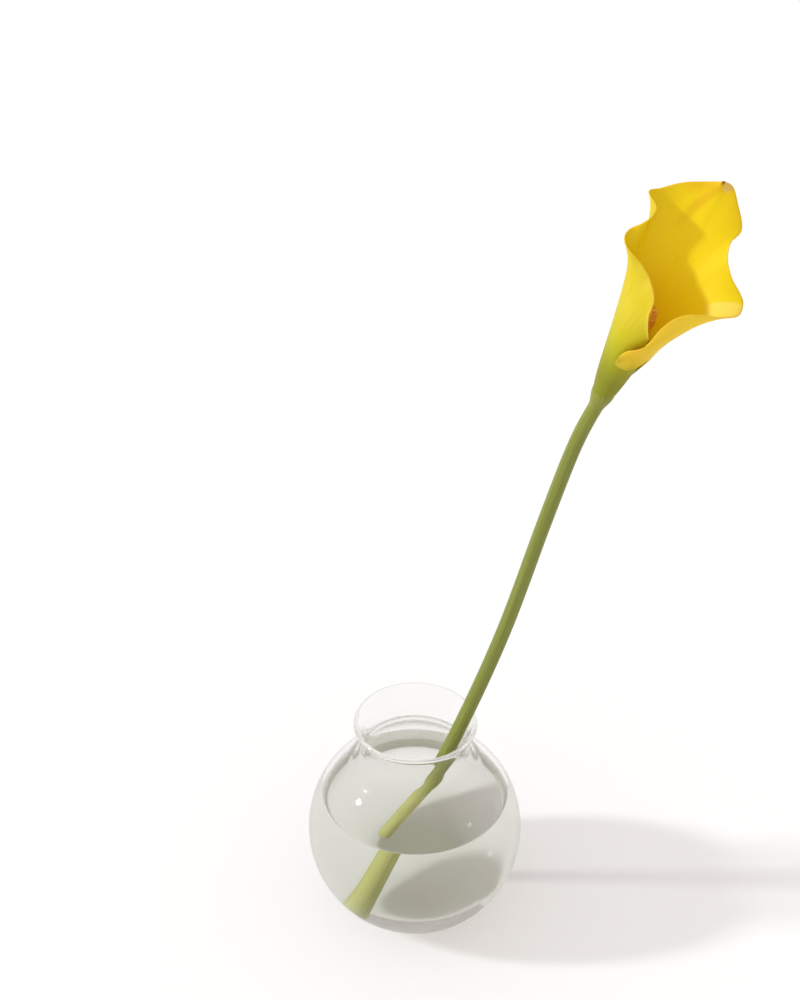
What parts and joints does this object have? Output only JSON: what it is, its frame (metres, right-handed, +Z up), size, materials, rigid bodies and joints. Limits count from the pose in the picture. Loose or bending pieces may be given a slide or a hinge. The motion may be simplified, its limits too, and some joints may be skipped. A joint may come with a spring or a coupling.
{
  "type": "calla lily flower in a glass vase",
  "caption": "Cut yellow calla lily with a waved, rolled spathe and a floret-covered spadix, standing in a clear glass ball vase of water and leaning on its lip.",
  "frame": {"origin": "centre of the vase's flat foot, on the surface that it stands on", "axes": "+Z up, the longest extent, from the foot to the flower; +X the way the flower leans; -Y the side that the flower's mouth turns to"},
  "size_m": [0.2406, 0.1398, 0.505],
  "materials": {
    "vase_glass": "clear polished glass",
    "water": "clear still water",
    "stem": "smooth fleshy green stalk with fine lengthwise lines",
    "spathe": "satin yellow bract, greener towards its base",
    "spadix": "orange-brown mealy florets"
  },
  "bodies": {
    "root": {"vase": "vase_glass", "water": "water", "stem": "stem", "spathe": "spathe", "spadix": "spadix"}
  },
  "joints": []
}
